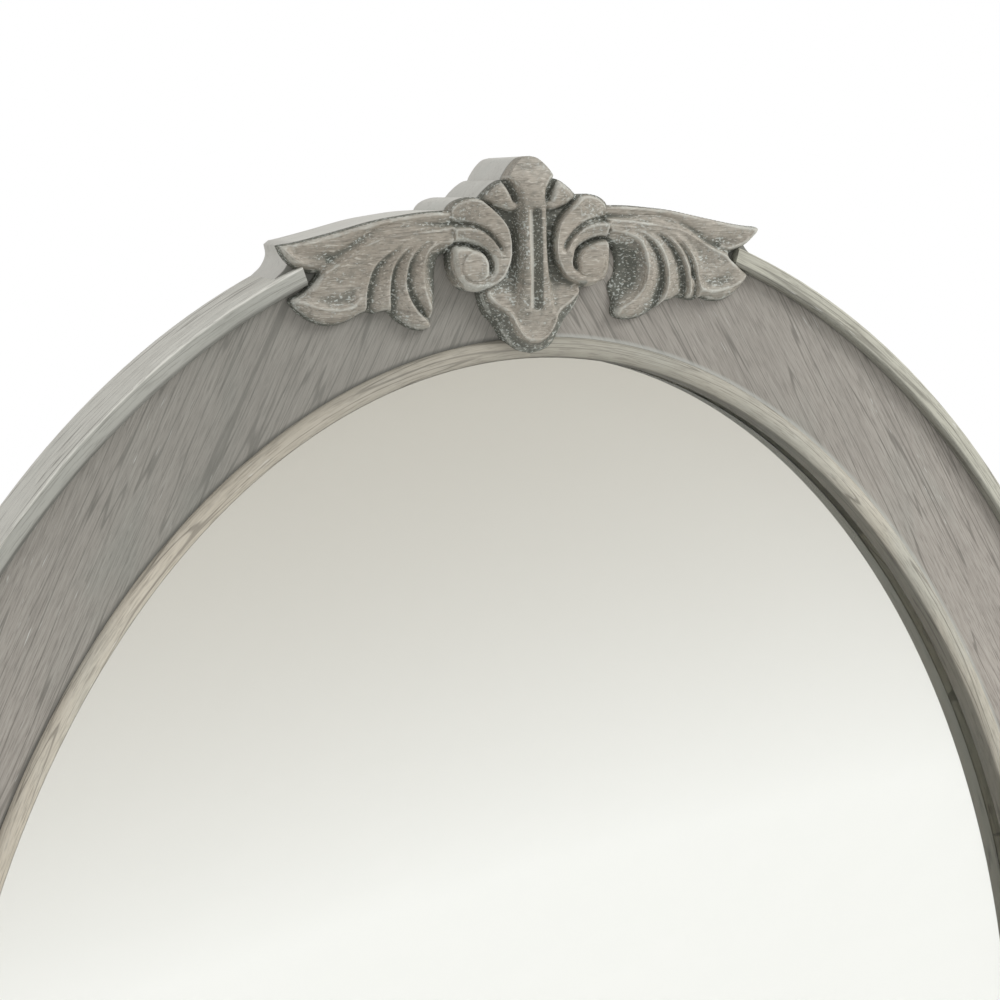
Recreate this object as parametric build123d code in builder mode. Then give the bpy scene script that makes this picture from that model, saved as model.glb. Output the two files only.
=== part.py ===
from build123d import *
import math
import os

os.makedirs("parts", exist_ok=True)

# Overall size of the oval, in millimetres
half_width = 300
half_height = 429
frame_depth = 42

# Front profile, measured inwards from the outer edge and back from the rim
band_width = 7
band_round = 1.6
field_drop = 5
field_width = 42.2
lip_width = 8
lip_drop = 2
lip_round = 3.4

# Mirror plate and what stands behind it
glass_drop = 14.7
glass_thickness = 4
silver_thickness = 0.3
backboard_thickness = 5.7
rebate_width = 4.2
glass_play = 3
backboard_play = 1
board_sink = 0.3

# Back of the frame
back_rim_width = 18

# Dowels and screws
dowel_radius = 4
dowel_length = 40
dowel_spacing = 17
dowel_end_play = 0.5
glue_play = 0.05
crest_dowel_radius = 3
crest_dowel_length = 18
crest_dowel_x = 26
screw_radius = 2
screw_length = 15
screw_head_radius = 4.2
screw_head_height = 2.2

# Turn buttons that hold the backboard
button_turns = (22, 78, 102, 158, 202, 258, 282, 338)
button_length = 30
button_width = 12
button_thickness = 2.5
button_pivot_inset = 37
moving_play = 0.3
pin_play = 0.1

# Cork blocks that centre the glass
block_turns = (12, 50, 90, 130, 168, 192, 230, 270, 310, 348)
block_length = 24
block_play = 0.15

# Hangers with their rings
hanger_turn = 50
hanger_inset = 32
strap_width = 12
strap_length = 44
strap_thickness = 2.4
eye_wall = 1.2
wire_radius = 1.5
ring_width = 20
ring_drop = 16
ring_corner = 2.6
ring_bow = 9
strap_screw_drops = (24, 37)

# Crest, measured from the top of the oval
carving_proud = 7
carving_body = 3
crest_end_x = 97
crest_block_x = 91
lobe_height = 18.5
tail_half_width = 12.5
tail_drop = 4
crest_bottom = 57
volute_x = 22.3
volute_z = -20
volute_radius = 11
eye_radius = 5
scroll_groove = 1.4
flute_radius = 2.4
stem_groove_radius = 2
stem_top = -3
stem_bottom = -38
lobe_groove_radius = 1.5
carving_round = 1.2
ear_foot = (31.5, -0.5)
wing_shoulder = (89.5, -9.5)
wing_tip = (96, -12)

# Places that follow from the sizes
rim_y = carving_proud - (frame_depth + carving_proud) / 2
field_inset = band_width
lip_inset = band_width + field_width
sight_inset = lip_inset + lip_width
rebate_inset = lip_inset - rebate_width
glass_inset = rebate_inset + glass_play
glass_back_drop = glass_drop + glass_thickness
silver_back_drop = glass_back_drop + silver_thickness
backboard_back_drop = silver_back_drop + backboard_thickness
ledge_drop = backboard_back_drop + board_sink
bar_height = strap_thickness + wire_radius + moving_play
dowel_drop = (field_drop + ledge_drop) / 2
dowel_insets = (back_rim_width, back_rim_width + dowel_spacing)
crest_dowel_drop = (field_drop + frame_depth) / 2
parts_made = []


def facing_front(drop):
    """Plane that looks to the front, at a depth behind the rim, about the oval's centre."""
    return Plane(origin=(0, rim_y + drop, half_height), x_dir=(1, 0, 0), z_dir=(0, -1, 0))


def crest_plane(drop):
    """Plane that looks to the front, about the top of the oval."""
    return Plane(origin=(0, rim_y + drop, 2 * half_height), x_dir=(1, 0, 0), z_dir=(0, -1, 0))


def oval_height(x, inset=0):
    """Height of an oval at x, measured from the top of the outer oval."""
    return (half_height - inset) * math.sqrt(1 - (x / (half_width - inset)) ** 2) - half_height


def back_plane(inset, turn, drop, along=False):
    """Plane that looks to the back at a place on an oval, turned clockwise from the top.

    Its Y axis points to the middle of the oval, or with along up the oval."""
    angle = math.radians(turn)
    across, up = half_width - inset, half_height - inset
    place = (across * math.sin(angle), rim_y + drop, half_height + up * math.cos(angle))
    tangent = Vector(across * math.cos(angle), 0, -up * math.sin(angle)).normalized()
    if not along:
        return Plane(origin=place, x_dir=tangent, z_dir=(0, 1, 0))
    rise = tangent if tangent.Z > 0 else tangent * -1
    return Plane(origin=place, x_dir=rise.cross(Vector(0, 1, 0)), z_dir=(0, 1, 0))


def oval_ring(outer_inset, inner_inset):
    """Sketch of the ring between two ovals."""
    with BuildSketch() as ring:
        Ellipse(half_width - outer_inset, half_height - outer_inset)
        Ellipse(half_width - inner_inset, half_height - inner_inset, mode=Mode.SUBTRACT)
    return ring.sketch


def keep(part, name):
    """Label a finished piece and write it."""
    part.label = name
    export_step(part, f"parts/{name}.step")
    parts_made.append(name)


def screw(plane, head_height):
    """One screw that stands in the wood below its plane, with its head above."""
    with BuildPart() as one:
        with Locations(plane.location):
            Cylinder(
                screw_radius, screw_length + head_height,
                align=(Align.CENTER, Align.CENTER, Align.MIN), mode=Mode.ADD,
            )
        with BuildSketch(plane.offset(head_height + screw_length)):
            Circle(screw_head_radius)
        extrude(amount=screw_head_height)
        fillet(one.edges().sort_by(lambda e: e.center().Y)[-1], screw_head_height * 0.45)
    return one.part


# Where the screws of the turn buttons and of the hangers stand on the ledge
button_planes = [back_plane(button_pivot_inset, turn, ledge_drop) for turn in button_turns]
hanger_planes = {
    "left": back_plane(hanger_inset, -hanger_turn, ledge_drop, along=True),
    "right": back_plane(hanger_inset, hanger_turn, ledge_drop, along=True),
}
hanger_screw_planes = [
    Plane(origin=plane.from_local_coords(Vector(0, -drop, 0)), x_dir=plane.x_dir, z_dir=plane.z_dir)
    for plane in hanger_planes.values()
    for drop in strap_screw_drops
]


# Frame boards, one for each quarter of the oval, doweled end to end
def frame_board(right, upper):
    span = 2 * (half_width + half_height)
    with BuildPart() as board:
        with BuildSketch(facing_front(frame_depth)):
            add(oval_ring(field_inset, lip_inset))
        extrude(amount=frame_depth - field_drop)
        with BuildSketch(facing_front(frame_depth)):
            add(oval_ring(back_rim_width, lip_inset + lip_width))
        extrude(amount=frame_depth - ledge_drop, mode=Mode.SUBTRACT)
        with BuildSketch(facing_front(frame_depth)):
            add(oval_ring(rebate_inset, lip_inset + lip_width))
        extrude(amount=frame_depth - glass_drop, mode=Mode.SUBTRACT)
        with Locations((right * span / 2, 0, half_height + upper * span / 2)):
            Box(span, span, span, mode=Mode.INTERSECT)
        for inset in dowel_insets:
            hole = dowel_radius + glue_play
            depth = dowel_length + 2 * dowel_end_play
            joint_z = half_height + upper * (half_height - inset)
            with Locations(Location((0, rim_y + dowel_drop, joint_z), (0, 90, 0))):
                Cylinder(hole, depth, mode=Mode.SUBTRACT)
            joint_x = right * (half_width - inset)
            with Locations((joint_x, rim_y + dowel_drop, half_height)):
                Cylinder(hole, depth, mode=Mode.SUBTRACT)
        for plane in button_planes + hanger_screw_planes:
            if plane.origin.X * right > 0 and (plane.origin.Z - half_height) * upper > 0:
                with Locations(plane.location):
                    Cylinder(
                        screw_radius + glue_play, screw_length,
                        align=(Align.CENTER, Align.CENTER, Align.MAX), mode=Mode.SUBTRACT,
                    )
        if upper > 0:
            with Locations(*crest_dowel_places()):
                Cylinder(
                    crest_dowel_radius + glue_play, crest_dowel_length + 2 * dowel_end_play,
                    mode=Mode.SUBTRACT,
                )
    return board.part


def crest_dowel_places():
    """Middles of the two dowels between the crest block and the boards."""
    middle = 2 * half_height + oval_height(crest_dowel_x, field_inset)
    return [Location((side * crest_dowel_x, rim_y + crest_dowel_drop, middle)) for side in (-1, 1)]


for height_name, upper in (("upper", 1), ("lower", -1)):
    for side_name, right in (("left", -1), ("right", 1)):
        keep(frame_board(right, upper), f"frame_{height_name}_{side_name}")

# Dowels between the boards
with BuildPart() as frame_dowels:
    for inset in dowel_insets:
        for end in (-1, 1):
            with Locations(
                Location((0, rim_y + dowel_drop, half_height + end * (half_height - inset)), (0, 90, 0)),
                Location((end * (half_width - inset), rim_y + dowel_drop, half_height)),
            ):
                Cylinder(dowel_radius, dowel_length)
keep(frame_dowels.part, "frame_dowels")

# Dowels between the crest block and the boards
with BuildPart() as crest_dowels:
    with Locations(*crest_dowel_places()):
        Cylinder(crest_dowel_radius, crest_dowel_length)
keep(crest_dowels.part, "crest_dowels")


# Edge band around the boards, in two halves that stop at the crest block
def edge_band(right):
    span = 2 * (half_width + half_height)
    with BuildPart() as band:
        with BuildSketch(facing_front(frame_depth)):
            add(oval_ring(0, field_inset))
        extrude(amount=frame_depth)
        fillet(band.faces().sort_by(Axis.Y)[0].edges(), band_round)
        with Locations((right * span / 2, 0, half_height)):
            Box(span, span, span, mode=Mode.INTERSECT)
        with Locations((0, 0, half_height + span / 2)):
            Box(2 * crest_end_x, span, span, mode=Mode.SUBTRACT)
    return band.part


for side_name, right in (("left", -1), ("right", 1)):
    keep(edge_band(right), f"edge_band_{side_name}")


# Raised lip around the glass, in two halves that stop at the tail of the crest
def glass_lip(right):
    span = 2 * (half_width + half_height)
    with BuildPart() as lip:
        with BuildSketch(facing_front(glass_drop)):
            add(oval_ring(lip_inset, sight_inset))
        extrude(amount=glass_drop - lip_drop)
        fillet(lip.faces().sort_by(Axis.Y)[0].edges(), lip_round)
        with Locations((right * span / 2, 0, half_height)):
            Box(span, span, span, mode=Mode.INTERSECT)
        with Locations((0, 0, half_height + span / 2)):
            Box(2 * tail_half_width, span, span, mode=Mode.SUBTRACT)
    return lip.part


for side_name, right in (("left", -1), ("right", 1)):
    keep(glass_lip(right), f"lip_{side_name}")

# Mirror glass with its silver coat
with BuildPart() as mirror_glass:
    with BuildSketch(facing_front(glass_back_drop)):
        Ellipse(half_width - glass_inset, half_height - glass_inset)
    extrude(amount=glass_thickness)
keep(mirror_glass.part, "mirror_glass")

with BuildPart() as silver_backing:
    with BuildSketch(facing_front(silver_back_drop)):
        Ellipse(half_width - glass_inset, half_height - glass_inset)
    extrude(amount=silver_thickness)
keep(silver_backing.part, "silver_backing")

# Cork blocks between the glass and the wall of the rebate
with BuildPart() as setting_blocks:
    for turn in block_turns:
        near = back_plane(rebate_inset + glass_play / 2, turn, glass_drop)
        fall = math.degrees(math.atan2(near.x_dir.Z, near.x_dir.X))
        with BuildSketch(facing_front(glass_back_drop)) as block:
            add(oval_ring(rebate_inset + block_play, glass_inset - block_play))
            with Locations(Location((near.origin.X, near.origin.Z - half_height), fall)):
                Rectangle(block_length, 4 * glass_play, mode=Mode.INTERSECT)
        extrude(amount=glass_thickness)
keep(setting_blocks.part, "setting_blocks")

# Backboard that fills the rebate behind the glass
with BuildPart() as backboard:
    with BuildSketch(facing_front(backboard_back_drop)):
        inset = rebate_inset + backboard_play
        Ellipse(half_width - inset, half_height - inset)
    extrude(amount=backboard_thickness)
keep(backboard.part, "backboard")

# Turn buttons, each free to turn on its own screw
for number, plane in enumerate(button_planes, start=1):
    with BuildPart() as turn_button:
        with BuildSketch(plane.offset(moving_play)):
            with Locations((0, (button_length - button_width) / 2)):
                SlotOverall(button_length, button_width, rotation=90)
            Circle(screw_radius + pin_play, mode=Mode.SUBTRACT)
        extrude(amount=button_thickness)
        fillet(turn_button.faces().sort_by(Axis.Y)[-1].outer_wire().edges(), button_thickness * 0.3)
    keep(turn_button.part, f"turn_button_{number}")

with BuildPart() as turn_button_screws:
    for plane in button_planes:
        add(screw(plane.offset(-screw_length), button_thickness + 2 * moving_play))
keep(turn_button_screws.part, "turn_button_screws")

# Hangers: a folded strap with an eye, and a ring that swings in the eye
for side_name, plane in hanger_planes.items():
    cross = Plane(
        origin=plane.from_local_coords(Vector(-strap_width / 2, 0, 0)), x_dir=plane.y_dir, z_dir=plane.x_dir
    )
    eye_radius_outer = wire_radius + pin_play + eye_wall
    with BuildPart() as hanger_strap:
        with BuildSketch(cross):
            with Locations(((eye_radius_outer - strap_length) / 2, strap_thickness / 2)):
                Rectangle(strap_length + eye_radius_outer, strap_thickness)
            with Locations((0, bar_height)):
                Circle(eye_radius_outer)
                Circle(wire_radius + pin_play, mode=Mode.SUBTRACT)
        extrude(amount=strap_width)
        with BuildSketch(plane):
            with Locations(*[(0, -drop) for drop in strap_screw_drops]):
                Circle(screw_radius + glue_play)
        extrude(amount=strap_thickness, mode=Mode.SUBTRACT)
    keep(hanger_strap.part, f"hanger_strap_{side_name}")

    with BuildPart() as hanger_ring:
        with BuildLine(plane.offset(bar_height)) as ring_path:
            FilletPolyline(
                (-ring_width / 2, 0), (ring_width / 2, 0),
                (ring_width / 2, -ring_drop), (-ring_width / 2, -ring_drop),
                radius=[ring_corner, ring_corner, ring_bow, ring_bow], close=True,
            )
        with BuildSketch(Plane(origin=ring_path.line @ 0, z_dir=ring_path.line % 0)):
            Circle(wire_radius)
        sweep(path=ring_path.line)
    keep(hanger_ring.part, f"hanger_ring_{side_name}")

with BuildPart() as hanger_screws:
    for plane in hanger_screw_planes:
        add(screw(plane.offset(-screw_length), strap_thickness))
keep(hanger_screws.part, "hanger_screws")


# Crest: half of its skyline, shared by the block behind and the carving in front
def crown_line():
    """Right half of the top lobe, the side lobe and the ear of the volute."""
    Spline((0, lobe_height), (5, lobe_height - 2), (9, lobe_height - 8), tangents=[(1, 0), (0, -1)])
    Spline((9, lobe_height - 8), (15, lobe_height - 10), (20, 2), tangents=[(1, 0.4), (0, -1)])
    Spline((20, 2), (26, 4.6), ear_foot, tangents=[(0.4, 1), (0, -1)])


# Block that fills the whole depth of the frame behind the carving
with BuildPart() as crest_block:
    with BuildSketch(crest_plane(frame_depth)):
        with BuildLine():
            end = oval_height(crest_end_x)
            root = end - 2 * band_width
            crown_line()
            ThreePointArc(ear_foot, (62, -3.2), wing_shoulder)
            Line(wing_shoulder, (crest_block_x, -16))
            Spline((crest_block_x, -16), (crest_end_x, end), tangents=[(0.1, -1), (1, -0.45)])
            Polyline((crest_end_x, end), (crest_end_x, root), (0, root))
            mirror(about=Plane.YZ)
        make_face()
    extrude(amount=frame_depth - field_drop)
    with BuildSketch(facing_front(frame_depth)):
        Ellipse(half_width - field_inset, half_height - field_inset)
    extrude(amount=frame_depth, mode=Mode.SUBTRACT)
    with Locations(*crest_dowel_places()):
        Cylinder(
            crest_dowel_radius + glue_play, crest_dowel_length + 2 * dowel_end_play, mode=Mode.SUBTRACT
        )
keep(crest_block.part, "crest_block")

# Cartouche with its two volutes, stem and tail
with BuildSketch() as cartouche_outline:
    with BuildLine():
        crown_line()
        neck = (volute_x + 1, volute_z + 4)
        cheek = (volute_x - 3, volute_z - 9)
        Polyline(ear_foot, (30.5, -7), neck, cheek)
        Spline(
            cheek, (16.5, -40.5), (13, -46), (9.5, -52.5), (0, -crest_bottom),
            tangents=[(-0.1, -1), (-1, 0)],
        )
        mirror(about=Plane.YZ)
    make_face()
    with Locations((volute_x, volute_z), (-volute_x, volute_z)):
        Circle(volute_radius)

with BuildSketch() as tail_outline:
    with BuildSketch(mode=Mode.PRIVATE) as sight:
        with Locations((0, -half_height)):
            Ellipse(half_width - sight_inset, half_height - sight_inset)
    with BuildSketch(mode=Mode.PRIVATE) as lip_outer:
        with Locations((0, -half_height)):
            Ellipse(half_width - lip_inset, half_height - lip_inset)
    with Locations((0, -lip_inset - lip_width / 2)):
        Rectangle(2 * tail_half_width, 2 * lip_width)
    add(lip_outer.sketch, mode=Mode.INTERSECT)
    add(sight.sketch, mode=Mode.SUBTRACT)

with BuildPart() as crest_cartouche:
    with BuildSketch(crest_plane(field_drop)):
        add(cartouche_outline.sketch)
    extrude(amount=field_drop + carving_body)
    fillet(crest_cartouche.faces().sort_by(Axis.Y)[0].outer_wire().edges(), carving_round)
    # Volutes: a raised disc, the groove of the scroll and the eye
    volutes = [(volute_x, volute_z), (-volute_x, volute_z)]
    with BuildSketch(crest_plane(-carving_body)):
        with Locations(*volutes):
            Circle(volute_radius - carving_round)
            Circle(eye_radius + scroll_groove, mode=Mode.SUBTRACT)
            Circle(eye_radius)
    extrude(amount=carving_proud - carving_body)
    # Grooves of the stem and beside the top lobe
    front = rim_y - carving_body
    with Locations((0, front, 2 * half_height + (stem_top + stem_bottom) / 2)):
        Cylinder(stem_groove_radius, stem_top - stem_bottom, mode=Mode.SUBTRACT)
    for side in (-1, 1):
        with BuildLine(crest_plane(-carving_body)) as lobe_groove:
            Line((side * 9.4, lobe_height - 9), (side * 7, 1.5))
        with BuildSketch(Plane(origin=lobe_groove.line @ 0, z_dir=lobe_groove.line % 0)):
            Circle(lobe_groove_radius)
        sweep(path=lobe_groove.line, mode=Mode.SUBTRACT)
    # Tail that fills the gap between the two ends of the lip
    with BuildSketch(crest_plane(glass_drop)):
        add(tail_outline.sketch)
    extrude(amount=glass_drop - tail_drop)
keep(crest_cartouche.part, "crest_cartouche")

# Wings: acanthus leaves that spread from the volutes over the boards
with BuildPart() as crest_wing_right:
    with BuildSketch(crest_plane(field_drop)):
        with BuildLine():
            ThreePointArc(ear_foot, (62, -3.2), wing_shoulder)
            ThreePointArc(wing_shoulder, (93, -10.4), wing_tip)
            ThreePointArc(wing_tip, (90, -19.5), (81, -22.5))
            ThreePointArc((81, -22.5), (86.5, -27), (92.5, -29.5))
            ThreePointArc((92.5, -29.5), (80, -39.8), (64, -36.5))
            ThreePointArc((64, -36.5), (60.5, -37.5), (57, -37))
            ThreePointArc((57, -37), (48, -43.8), (36.5, -42.5))
            ThreePointArc((36.5, -42.5), (39.2, -35), (34, -27))
            Line((34, -27), (31, -20))
            Polyline((31, -20), (volute_x, volute_z), (volute_x + 2, -6), ear_foot)
        make_face()
        add(cartouche_outline.sketch, mode=Mode.SUBTRACT)
    extrude(amount=field_drop + carving_body)
    fillet(crest_wing_right.faces().sort_by(Axis.Y)[0].outer_wire().edges(), carving_round)
    flutes = [
        ((38, -11), (62, -12), (84, -20)),
        ((38, -14), (56, -20), (65, -35)),
        ((37, -17), (49, -23), (54, -37)),
        ((36, -20), (42, -28), (44, -40)),
    ]
    for start, middle, end in flutes:
        with BuildLine(crest_plane(-carving_body)) as flute:
            ThreePointArc(start, middle, end)
        with BuildSketch(Plane(origin=flute.line @ 0, z_dir=flute.line % 0)):
            Circle(flute_radius)
        sweep(path=flute.line, mode=Mode.SUBTRACT)
keep(crest_wing_right.part, "crest_wing_right")

with BuildPart() as crest_wing_left:
    mirror(crest_wing_right.part, about=Plane.YZ)
keep(crest_wing_left.part, "crest_wing_left")

for name in parts_made:
    print(name)
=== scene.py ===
# %% [markdown]
# # An oval mirror in a limed oak frame with a carved crest
# The real object is a flat oval frame of grey oak, with an edge band, a rounded lip round the glass, and
# a carved crest of scrolls and leaves at the top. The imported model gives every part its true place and
# size. This script dresses it: it loads that model as a fixed frame, builds finer wood where the carving
# and the rounded edges show, and gives each part a finish made of shader nodes.

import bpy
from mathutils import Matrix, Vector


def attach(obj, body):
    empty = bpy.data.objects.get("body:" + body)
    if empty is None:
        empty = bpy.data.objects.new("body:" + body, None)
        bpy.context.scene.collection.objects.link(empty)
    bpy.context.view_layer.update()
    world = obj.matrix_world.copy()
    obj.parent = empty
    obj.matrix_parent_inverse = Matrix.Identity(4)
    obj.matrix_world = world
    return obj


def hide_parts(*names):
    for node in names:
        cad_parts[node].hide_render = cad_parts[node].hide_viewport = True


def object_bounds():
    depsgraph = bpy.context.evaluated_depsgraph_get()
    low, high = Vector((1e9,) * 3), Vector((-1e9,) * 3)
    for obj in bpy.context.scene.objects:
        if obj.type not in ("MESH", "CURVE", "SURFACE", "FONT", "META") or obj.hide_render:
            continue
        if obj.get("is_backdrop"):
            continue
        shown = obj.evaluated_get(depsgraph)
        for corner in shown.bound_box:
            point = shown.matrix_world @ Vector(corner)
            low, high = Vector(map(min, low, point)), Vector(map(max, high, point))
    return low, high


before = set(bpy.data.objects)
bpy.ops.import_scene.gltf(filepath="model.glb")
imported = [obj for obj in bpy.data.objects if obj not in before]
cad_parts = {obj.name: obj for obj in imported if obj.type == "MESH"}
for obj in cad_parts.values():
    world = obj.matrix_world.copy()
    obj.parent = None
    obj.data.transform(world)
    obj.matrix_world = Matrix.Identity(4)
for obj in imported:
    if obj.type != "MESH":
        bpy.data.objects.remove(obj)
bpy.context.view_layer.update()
print("parts in the packed model:", len(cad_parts))

# %% [markdown]
# ## Sizes
# Blender works in metres and the maker's sizes are easier to read in millimetres, so one short function
# turns them. The origin is the middle of the frame's foot, X runs to the right, Y to the back and Z up.
# Depths are counted back from the front of the rim, and insets are counted inwards from the outer oval,
# as a joiner would mark them out.

# %% Sizes shared by all pieces
import math

import bmesh
import bpy
import numpy as np
from mathutils import Matrix, Vector


def mm(value):
    """Millimetres as metres."""
    return value / 1000


HALF_WIDTH = mm(300)
HALF_HEIGHT = mm(429)
RIM_Y = mm(-17.5)
TOP_Z = 2 * HALF_HEIGHT
BACK_DROP = 42
FIELD_DROP = 5
BAND_WIDTH = 7
LIP_INSET = 49.2
SIGHT_INSET = 57.2
GLASS_DROP = 14.7
CREST_END = 97
print("outer oval:", 2 * HALF_WIDTH, "by", 2 * HALF_HEIGHT, "m")

# %% [markdown]
# ## From a bmesh to a piece
# Every piece is made in a bmesh, which is Blender's editable mesh in memory. Finishing it is always the
# same: doubles are merged, faces are turned outwards, flat joints between curved strips are shaded smooth
# and real corners stay sharp. The object is left at the origin with its place in the mesh, as the packed
# parts are.

# %% A helper that finishes a piece
SHARP_ANGLE = math.radians(32)
MERGE_DISTANCE = mm(0.005)


def finish_piece(bm, name, body="root", sharp=SHARP_ANGLE):
    """Make an object from a bmesh, with outward faces and crisp corners, riding on a body."""
    bmesh.ops.remove_doubles(bm, verts=bm.verts, dist=MERGE_DISTANCE)
    bmesh.ops.recalc_face_normals(bm, faces=bm.faces)
    for face in bm.faces:
        face.smooth = True
    for edge in bm.edges:
        edge.smooth = edge.calc_face_angle(math.pi) < sharp
    mesh = bpy.data.meshes.new(name)
    bm.to_mesh(mesh)
    bm.free()
    piece = bpy.data.objects.new(name, mesh)
    bpy.context.scene.collection.objects.link(piece)
    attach(piece, body)
    print(name, "has", len(mesh.polygons), "faces")
    return piece


# %% [markdown]
# ## Strips that follow the oval
# The boards, the edge band and the lip are all one profile carried round an oval. A lathe can only turn
# circles, so the profile is spun round a circle first, and every point is then lifted by the part of the
# height that an oval has more than a circle. The corners of the profile are rounded before the spin, as a
# router bit does along a real board.

# %% Spinning a profile round the oval
def turn_of(point):
    """Clockwise angle from the top of the oval, seen from the front, before the strip is stretched."""
    return math.atan2(point.x, point.z)


def oval_strip(profile, rounds, first, last, steps):
    """Spin a closed profile of (inset, drop) corners between two turns. Rounds are (corner, radius)."""
    bm = bmesh.new()
    corners = [bm.verts.new((0, RIM_Y + mm(drop), HALF_WIDTH - mm(inset))) for inset, drop in profile]
    bm.faces.new(corners)
    for number, radius in rounds:
        bmesh.ops.bevel(
            bm, geom=[corners[number]], offset=mm(radius), offset_type="OFFSET", affect="VERTICES",
            segments=6, profile=0.5, material=-1,
        )
    bmesh.ops.rotate(bm, verts=bm.verts, cent=(0, 0, 0), matrix=Matrix.Rotation(first, 3, "Y"))
    bmesh.ops.spin(
        bm, geom=bm.verts[:] + bm.edges[:] + bm.faces[:], cent=(0, 0, 0), axis=(0, 1, 0),
        angle=last - first, steps=steps, use_merge=False,
    )
    for vert in bm.verts:
        vert.co.z += (HALF_HEIGHT - HALF_WIDTH) * math.cos(turn_of(vert.co)) + HALF_HEIGHT
    return bm


print("a strip's profile is spun in a plane at X = 0, from", HALF_WIDTH, "m outwards")

# %% [markdown]
# ## The boards
# Four boards meet in mitres at the top, the foot and the sides. Each is a flat field that lies a little
# under the rim, with a step behind it for the glass and another for the back board.

# %% Four oak boards
board_profile = [
    (BAND_WIDTH, BACK_DROP), (BAND_WIDTH, FIELD_DROP), (LIP_INSET, FIELD_DROP), (LIP_INSET, GLASS_DROP),
    (45, GLASS_DROP), (45, 25), (18, 25), (18, BACK_DROP),
]
board_rounds = [(0, 0.8), (6, 0.6), (7, 1.2)]
quarter = math.pi / 2
boards = {}
for corner, first in (("upper_right", 0), ("lower_right", 1), ("lower_left", 2), ("upper_left", 3)):
    bm = oval_strip(board_profile, board_rounds, first * quarter, (first + 1) * quarter, 72)
    board = finish_piece(bm, "oak_board_" + corner)
    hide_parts("frame_" + corner)
    boards[corner] = board
print("boards:", ", ".join(boards))

# %% [markdown]
# ## The edge band and the lip
# The band is bent round the boards and ends under the wings. The lip is a rounded bead round the glass,
# in two halves that meet behind the foot of the cartouche.

# %% Edge band and lip in halves
BAND_END = 88
BAND_START = math.asin(mm(BAND_END) / HALF_WIDTH)
band_profile = [(0, BACK_DROP), (0, 0), (BAND_WIDTH, 0), (BAND_WIDTH, BACK_DROP)]
band_rounds = [(0, 0.8), (1, 0.7), (2, 1.6), (3, 0.4)]
lip_profile = [(LIP_INSET, GLASS_DROP), (LIP_INSET, 2), (SIGHT_INSET, 2), (SIGHT_INSET, GLASS_DROP)]
lip_rounds = [(1, 3.4), (2, 3.4)]
moulding = {}
for side, sign in (("left", -1), ("right", 1)):
    bm = oval_strip(band_profile, band_rounds, sign * BAND_START, sign * math.pi, 120)
    band = finish_piece(bm, "oak_band_" + side)
    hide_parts("edge_band_" + side)
    bm = oval_strip(lip_profile, lip_rounds, 0, sign * math.pi, 124)
    lip = finish_piece(bm, "oak_lip_" + side)
    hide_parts("lip_" + side)
    moulding[side] = (band, lip)
print("the band ends", BAND_END, "mm from the middle, at", round(math.degrees(BAND_START), 1), "degrees")

# %% [markdown]
# ## The carved crest
# A carver draws the scrolls and leaves on the blank, cuts down beside the lines and rounds what is left.
# The script does the same with numbers: lines are marked in millimetres from the top of the oval, and the
# height of the wood over the rim follows from how far a point lies from them.

# %% Lines, outlines and edges
def drawn(points, per=6):
    """A smooth line through marked points, as an array of close points."""
    p = np.array(points, float)
    p = np.vstack([2 * p[0] - p[1], p, 2 * p[-1] - p[-2]])
    t = np.linspace(0, 1, per, endpoint=False)[:, None]
    runs = [
        b + 0.5 * t * (c - a + t * (2 * a - 5 * b + 4 * c - d + t * (3 * (b - c) + d - a)))
        for a, b, c, d in zip(p[:-3], p[1:-2], p[2:-1], p[3:])
    ]
    return np.vstack([*runs, p[-2:-1]])


def reach(line, u, z):
    """Distance to a line, its left (+) or right (-) side, and the share of the line passed."""
    best = np.full(u.shape, 1e9)
    side = np.zeros(u.shape)
    share = np.zeros(u.shape)
    for number, (a, b) in enumerate(zip(line[:-1], line[1:])):
        run = b - a
        t = np.clip(((u - a[0]) * run[0] + (z - a[1]) * run[1]) / max(run @ run, 1e-9), 0, 1)
        du, dz = u - a[0] - t * run[0], z - a[1] - t * run[1]
        gap = du * du + dz * dz
        near = gap < best
        best = np.where(near, gap, best)
        side = np.where(near, run[0] * dz - run[1] * du, side)
        share = np.where(near, number + t, share)
    return np.sqrt(best), np.sign(side), share / (len(line) - 1)


def depth_in(ring, u, z):
    """Distance inside a closed outline, negative outside."""
    ring = np.vstack([ring, ring[:1]])
    inside = np.zeros(u.shape, bool)
    for a, b in zip(ring[:-1], ring[1:]):
        if a[1] != b[1]:
            over = (z < a[1]) != (z < b[1])
            inside ^= over & (u < a[0] + (z - a[1]) * (b[0] - a[0]) / (b[1] - a[1]))
    gap = reach(ring, u, z)[0]
    return np.where(inside, gap, -gap)


print("a smooth line through 3 marks has", len(drawn([(0, 0), (1, 1), (2, 0)])), "points")

# %% [markdown]
# ## Slopes, rounds and ridges
# A chisel leaves few kinds of form: a soft slope between two levels, a rounded edge, a narrow ridge, and
# places where two forms run into each other. Each is one short formula on arrays, so a whole sheet is cut
# at once.

# %% Formulas for the cuts
def step(value, low, high):
    """Smooth step from 0 to 1 between two values."""
    t = np.clip((value - low) / (high - low), 0, 1)
    return t * t * (3 - 2 * t)


def round_off(depth, width):
    """Share of the height left near an edge: a quarter round of that width."""
    t = np.clip(depth / width, 0, 1)
    return np.sqrt(np.clip(1 - (1 - t) ** 2, 0, 1))


def soft_max(a, b, soft=0.5):
    """The higher of two heights, with a soft join."""
    h = np.clip(0.5 + 0.5 * (a - b) / soft, 0, 1)
    return b + (a - b) * h + soft * h * (1 - h)


def bump(gap, width):
    """A ridge of height 1 along a line, by the distance from it."""
    return np.exp(-((gap / width) ** 2))


print("a slope from 0 to 1 passes", step(np.array([0.25, 0.5, 0.75]), 0, 1))

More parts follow.
